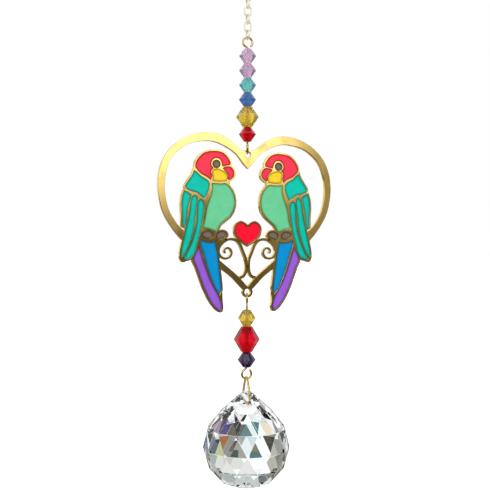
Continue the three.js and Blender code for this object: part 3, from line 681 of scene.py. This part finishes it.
# A card hangs between two turns from the panel's face towards +X, and rises from one height to
# another, all in degrees. A later card hangs in front of an earlier one.
glossRoom = {"walls": (0.10, 0.095, 0.07), "cards": {
    "ceiling": {"turn": (-180, 180), "rise": (60, 90), "soft": 12, "colour": (0.3, 0.3, 0.3)},
    "backdrop": {"turn": (100, 260), "rise": (0, 60), "soft": 8, "colour": (0.95, 0.95, 0.95)},
    "low backdrop": {"turn": (100, 260), "rise": (-55, -14), "soft": 6, "colour": (0.55, 0.5, 0.42)},
    "floor": {"turn": (-180, 180), "rise": (-90, -40), "soft": 15, "colour": (0.09, 0.08, 0.05)},
    "right wall": {"turn": (25, 80), "rise": (2, 30), "soft": 4, "colour": (0.30, 0.29, 0.25)},
    "left wall": {"turn": (-75, 14), "rise": (3.5, 14), "soft": 3, "colour": (0.7, 0.69, 0.64)},
    "overhead": {"turn": (-60, 20), "rise": (57, 72), "soft": 4, "colour": (1.9, 1.8, 1.6)},
    "key": {"turn": (-28, 22.5), "rise": (7, 36), "soft": 4, "colour": (1.8, 1.8, 1.8)},
}}
glassRoom = {"walls": (1.06, 1.07, 1.08), "cards": {
    "front": {"turn": (-80, 80), "rise": (-70, 0), "soft": 6, "colour": (0.3, 0.29, 0.28)},
    "front window": {"turn": (-25, 8), "rise": (-28, -15), "soft": 4, "colour": (1.05, 1.05, 1.05)},
    "far shelf": {"turn": (118, 172), "rise": (6, 13), "soft": 1, "colour": (0.84, 0.84, 0.82)},
    "left shelf": {"turn": (117, 132), "rise": (4, 14), "soft": 1, "colour": (0.74, 0.75, 0.71)},
    "mid shelf": {"turn": (146, 153), "rise": (2, 6), "soft": 1, "colour": (0.76, 0.78, 0.73)},
    "sill": {"turn": (136, 142), "rise": (-1, 2), "soft": 1, "colour": (0.6, 0.62, 0.57)},
    "high left": {"turn": (100, 142), "rise": (17, 45), "soft": 3, "colour": (0.42, 0.47, 0.46)},
    "high middle": {"turn": (143, 174), "rise": (24, 45), "soft": 2, "colour": (0.6, 0.64, 0.63)},
    "high right": {"turn": (177, 192), "rise": (29, 45), "soft": 1, "colour": (0.11, 0.14, 0.14)},
    "high dark": {"turn": (191, 205), "rise": (22, 32), "soft": 2, "colour": (0.08, 0.11, 0.1)},
    "left grey": {"turn": (96, 114), "rise": (2, 7), "soft": 1, "colour": (0.29, 0.35, 0.34)},
    "left blue": {"turn": (80, 108), "rise": (-11, 15), "soft": 1, "colour": (0.03, 0.13, 0.3)},
    "mauve glow": {"turn": (250, 268), "rise": (24, 32), "soft": 1, "colour": (0.3, 0.2, 0.28)},
    "wedge": {"turn": (106, 116.5), "rise": (-40, -31.5), "soft": 1, "colour": (0.05, 0.03, 0.06)},
    "dusk": {"turn": (106, 128), "rise": (-53, -45), "soft": 2, "colour": (0.03, 0.02, 0.07)},
    "mauve": {"turn": (117, 123), "rise": (-32, -27), "soft": 1, "colour": (0.25, 0.16, 0.24)},
    "indigo": {"turn": (125, 134), "rise": (-31, -26), "soft": 1, "colour": (0.02, 0.01, 0.17)},
    "slate": {"turn": (114.8, 118), "rise": (-15, -11), "soft": 0.5, "colour": (0.04, 0.1, 0.13)},
    "navy": {"turn": (111, 117), "rise": (-10.3, -8), "soft": 0.2, "colour": (0.02, 0.05, 0.08)},
    "sage": {"turn": (111, 117), "rise": (-11.5, -10.3), "soft": 0.2, "colour": (0.5, 0.56, 0.46)},
    "orange": {"turn": (126, 133), "rise": (-17, -12), "soft": 1, "colour": (0.36, 0.13, 0.03)},
    "olive": {"turn": (121, 125.5), "rise": (-13, -9), "soft": 0.5, "colour": (0.14, 0.13, 0.04)},
    "lime": {"turn": (126, 133), "rise": (-9, -4), "soft": 1, "colour": (0.49, 0.58, 0.28)},
    "brown": {"turn": (140, 144), "rise": (-27, -19), "soft": 0.5, "colour": (0.1, 0.075, 0.04)},
    "grey board": {"turn": (136, 144), "rise": (-14, -9), "soft": 1, "colour": (0.27, 0.26, 0.23)},
    "seam": {"turn": (139.4, 141), "rise": (-10.9, -9.8), "soft": 0.1, "colour": (0.12, 0.1, 0.09)},
    "buff board": {"turn": (148, 152.5), "rise": (-9, -5), "soft": 0.8, "colour": (0.36, 0.36, 0.31)},
    "moss": {"turn": (150.55, 151.6), "rise": (-7.15, -6.6), "soft": 0.05, "colour": (0.03, 0.06, 0.04)},
    "mist": {"turn": (145, 153), "rise": (-18, -12.5), "soft": 1, "colour": (0.28, 0.32, 0.31)},
    "black": {"turn": (144.6, 153), "rise": (-34, -23), "soft": 0.5, "colour": (0, 0, 0)},
    "black end": {"turn": (135, 141), "rise": (-35, -29), "soft": 1, "colour": (0, 0, 0)},
    "low black": {"turn": (160, 168.5), "rise": (-50, -44), "soft": 1, "colour": (0.01, 0.005, 0.01)},
    "steel blue": {"turn": (153.6, 161), "rise": (-36, -26), "soft": 0.5, "colour": (0.0, 0.035, 0.13)},
    "teal": {"turn": (154, 162), "rise": (-25.5, -20), "soft": 0.5, "colour": (0.0, 0.115, 0.12)},
    "teal edge": {"turn": (165.5, 167.6), "rise": (-28, -26), "soft": 0.3, "colour": (0.02, 0.2, 0.17)},
    "teal bar": {"turn": (178.45, 179.3), "rise": (-32, -31), "soft": 0.1, "colour": (0.02, 0.2, 0.17)},
    "pale strip": {"turn": (168, 170), "rise": (-30, -27.5), "soft": 0.5, "colour": (0.72, 0.85, 0.86)},
    "pale blue": {"turn": (165.5, 169.5), "rise": (-18, -14.5), "soft": 0.5, "colour": (0.56, 0.68, 0.72)},
    "pale sky": {"turn": (156.5, 161), "rise": (-13.5, -9.5), "soft": 0.5, "colour": (0.74, 0.84, 0.86)},
    "olive chip": {"turn": (166.5, 168.1), "rise": (-6.8, -6.0), "soft": 0.05, "colour": (0.2, 0.19, 0.1)},
    "teal chip": {"turn": (166.5, 168.1), "rise": (-7.6, -6.8), "soft": 0.05, "colour": (0.05, 0.16, 0.18)},
    "peach": {"turn": (188.5, 190.3), "rise": (-31, -28.5), "soft": 0.6, "colour": (0.92, 0.8, 0.56)},
    "right slate": {"turn": (193, 201), "rise": (-38, -27), "soft": 1, "colour": (0.17, 0.17, 0.15)},
    "cream": {"turn": (187, 189.2), "rise": (-14.6, -13.5), "soft": 0.2, "colour": (0.7, 0.67, 0.58)},
    "dark board": {"turn": (187, 189.2), "rise": (-17, -14.6), "soft": 0.2, "colour": (0.05, 0.05, 0.03)},
    "right grey": {"turn": (195, 240), "rise": (-14, -6), "soft": 1, "colour": (0.28, 0.29, 0.26)},
    "right stone": {"turn": (187.5, 191), "rise": (-9, -5), "soft": 0.5, "colour": (0.48, 0.48, 0.42)},
    "right shelf": {"turn": (187, 193), "rise": (5, 11), "soft": 1, "colour": (0.48, 0.47, 0.39)},
    "right mottle": {"turn": (194, 240), "rise": (1, 24), "soft": 1, "colour": (0.2, 0.21, 0.17)},
}}


def towards(azimuth, elevation):
    a, e = math.radians(azimuth), math.radians(elevation)
    return Vector((math.sin(a) * math.cos(e), -math.cos(a) * math.cos(e), math.sin(e)))


def makeFloor():
    height = partLow.z - studio["floorDrop"]
    bpy.ops.mesh.primitive_plane_add(size=studio["floorSize"], location=(0, 0, height))
    floor = bpy.context.active_object
    floor.name = "studio_floor"
    freezePlace(floor)
    material, tree, surface = newMaterial("paleFloor")
    grain = addNode(tree, "ShaderNodeTexNoise", inputs={
        "Vector": addNode(tree, "ShaderNodeTexCoord").outputs["Object"], "Scale": 3.0})
    rough = addNode(tree, "ShaderNodeMapRange", inputs={
        "Value": grain.outputs["Fac"], "To Min": 0.6, "To Max": 0.8})
    tree.links.new(rough.outputs["Result"], surface.inputs["Roughness"])
    surface.inputs["Base Color"].default_value = studio["floorColour"]
    surface.inputs["Emission Color"].default_value = (1, 1, 1, 1)
    surface.inputs["Emission Strength"].default_value = studio["floorGlow"]
    floor.data.materials.append(material)
    floor.visible_glossy = False
    floor.visible_transmission = False


def makeCompassGroup():
    # the azimuth and elevation of a direction, in degrees
    group, given, out = newGroup(
        "compass", [("Direction", "NodeSocketVector", (0, 0, 1))],
        [("Azimuth", "NodeSocketFloat"), ("Elevation", "NodeSocketFloat")])
    parts = addNode(group, "ShaderNodeSeparateXYZ", inputs={0: given["Direction"]}).outputs
    ahead = addNode(group, "ShaderNodeMath", {"operation": "MULTIPLY"}, {0: parts["Y"], 1: -1.0})
    turn = addNode(group, "ShaderNodeMath", {"operation": "ARCTAN2"}, {0: parts["X"], 1: ahead.outputs[0]})
    rise = addNode(group, "ShaderNodeMath", {"operation": "ARCSINE"}, {0: parts["Z"]})
    for angle, title in ((turn, "Azimuth"), (rise, "Elevation")):
        degrees = addNode(group, "ShaderNodeMath", {"operation": "DEGREES"}, {0: angle.outputs[0]})
        group.links.new(degrees.outputs[0], out.inputs[title])
    return group


def makeCardGroup():
    # a soft-edged card hung in front of what is behind it
    group, given, out = newGroup(
        "roomCard",
        [("Azimuth", "NodeSocketFloat", 0.0), ("Elevation", "NodeSocketFloat", 0.0),
         ("Middle Azimuth", "NodeSocketFloat", 0.0), ("Middle Elevation", "NodeSocketFloat", 0.0),
         ("Half Azimuth", "NodeSocketFloat", 10.0), ("Half Elevation", "NodeSocketFloat", 10.0),
         ("Softness", "NodeSocketFloat", 5.0), ("Card", "NodeSocketColor", (1, 1, 1, 1)),
         ("Behind", "NodeSocketColor", (0, 0, 0, 1))],
        [("Colour", "NodeSocketColor")])
    turned = addNode(group, "ShaderNodeMath", {"operation": "SUBTRACT"}, {
        0: given["Azimuth"], 1: given["Middle Azimuth"]})
    wrapped = addNode(group, "ShaderNodeMath", {"operation": "WRAP"}, {
        0: turned.outputs[0], 1: 180.0, 2: -180.0})
    raised = addNode(group, "ShaderNodeMath", {"operation": "SUBTRACT"}, {
        0: given["Elevation"], 1: given["Middle Elevation"]})
    past = []
    for offset, half in ((wrapped, "Half Azimuth"), (raised, "Half Elevation")):
        size = addNode(group, "ShaderNodeMath", {"operation": "ABSOLUTE"}, {0: offset.outputs[0]})
        past.append(addNode(group, "ShaderNodeMath", {"operation": "SUBTRACT"}, {
            0: size.outputs[0], 1: given[half]}).outputs[0])
    outside = addNode(group, "ShaderNodeMath", {"operation": "MAXIMUM"}, {0: past[0], 1: past[1]})
    share = addNode(group, "ShaderNodeMapRange", {"interpolation_type": "SMOOTHSTEP"}, {
        "Value": outside.outputs[0], "From Max": given["Softness"], "To Min": 1.0, "To Max": 0.0})
    colour = mixColours(group, share.outputs["Result"], given["Behind"], given["Card"])
    group.links.new(colour, out.inputs["Colour"])
    return group


def hangCards(tree, cardGroup, compass, room):
    seen = addNode(tree, "ShaderNodeRGB").outputs[0]
    seen.default_value = (*room["walls"], 1)
    for card in room["cards"].values():
        (left, right), (low, high) = card["turn"], card["rise"]
        hung = placeGroup(tree, cardGroup, {
            "Middle Azimuth": (left + right) / 2, "Half Azimuth": (right - left) / 2,
            "Middle Elevation": (low + high) / 2, "Half Elevation": (high - low) / 2,
            "Softness": card["soft"], "Card": (*card["colour"], 1)})
        for title in ("Azimuth", "Elevation"):
            tree.links.new(compass.outputs[title], hung.inputs[title])
        tree.links.new(seen, hung.inputs["Behind"])
        seen = hung.outputs["Colour"]
    return seen


def makeRoom():
    world = bpy.data.worlds.new("studioRoom")
    bpy.context.scene.world = world
    world.use_nodes = True
    tree = world.node_tree
    tree.nodes.clear()
    compass = placeGroup(tree, makeCompassGroup(), {})
    tree.links.new(addNode(tree, "ShaderNodeTexCoord").outputs["Generated"], compass.inputs["Direction"])
    cardGroup = makeCardGroup()
    gloss = addNode(tree, "ShaderNodeBackground", inputs={
        "Color": hangCards(tree, cardGroup, compass, glossRoom)})
    glass = addNode(tree, "ShaderNodeBackground", inputs={
        "Color": hangCards(tree, cardGroup, compass, glassRoom)})
    soft = addNode(tree, "ShaderNodeBackground", inputs={
        "Color": studio["wall"], "Strength": studio["diffuseRoom"]})
    white = addNode(tree, "ShaderNodeBackground", inputs={"Color": studio["wall"]})
    paths = addNode(tree, "ShaderNodeLightPath")
    seen = gloss
    for kind, light in (("Is Transmission Ray", glass), ("Is Diffuse Ray", soft), ("Is Camera Ray", white)):
        chosen = addNode(tree, "ShaderNodeMixShader", inputs={"Fac": paths.outputs[kind]})
        tree.links.new(seen.outputs[0], chosen.inputs[1])
        tree.links.new(light.outputs[0], chosen.inputs[2])
        seen = chosen
    output = addNode(tree, "ShaderNodeOutputWorld")
    tree.links.new(seen.outputs[0], output.inputs["Surface"])


# Camera: level, a little to the left of the panel, as far off as the panel's two halves show

camera = {"distance": 0.180, "azimuth": -20.9, "focalPixels": 775.9, "imagePixels": 490, "sensor": 36.0,
          "holeBelowTop": 4.65 * mm, "axisBelowHole": 22.16 * mm, "centreX": 2.0, "centreY": 5.0,
          "roll": 0.2, "nearest": 0.01}


def makeCamera():
    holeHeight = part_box("heart_panel")[1].z - camera["holeBelowTop"]
    level = holeHeight - camera["axisBelowHole"]
    back = towards(camera["azimuth"], 0)
    data = bpy.data.cameras.new("photoCamera")
    data.sensor_width = camera["sensor"]
    data.lens = camera["sensor"] * camera["focalPixels"] / camera["imagePixels"]
    data.clip_start = camera["nearest"]
    eye = bpy.data.objects.new("photoCamera", data)
    bpy.context.scene.collection.objects.link(eye)
    eye.location = back * camera["distance"] + Vector((0, 0, level))
    right = Vector((-back.y, back.x, 0))
    perPixel = camera["distance"] / camera["focalPixels"]
    aim = Vector((0, 0, level)) - right * camera["centreX"] * perPixel
    aim.z += camera["centreY"] * perPixel
    eye.rotation_mode = "QUATERNION"
    look = (aim - eye.location).to_track_quat("-Z", "Y")
    eye.rotation_quaternion = Quaternion(look @ Vector((0, 0, 1)), math.radians(camera["roll"])) @ look
    bpy.context.scene.camera = eye


lights = {
    "softFront": {"azimuth": -35, "elevation": 25, "power": 1.25, "size": 0.5, "distance": 0.6},
    "softSide": {"azimuth": 60, "elevation": 30, "power": 0.5, "size": 0.5, "distance": 0.6},
}


def makeLights():
    # soft lamps for the matt surfaces alone: gloss and glass have the room's cards
    middle = (partLow + partHigh) / 2
    for name, light in lights.items():
        data = bpy.data.lights.new(name, "AREA")
        data.size = light["size"]
        data.energy = light["power"]
        lamp = bpy.data.objects.new(name, data)
        bpy.context.scene.collection.objects.link(lamp)
        lamp.location = middle + towards(light["azimuth"], light["elevation"]) * light["distance"]
        lamp.rotation_mode = "QUATERNION"
        lamp.rotation_quaternion = (middle - lamp.location).to_track_quat("-Z", "Y")
        lamp.visible_glossy = False
        lamp.visible_transmission = False


makeFloor()
makeRoom()
makeLights()
makeCamera()
view = bpy.context.scene.view_settings
view.view_transform = "Standard"
view.look = "None"
print("studio set")
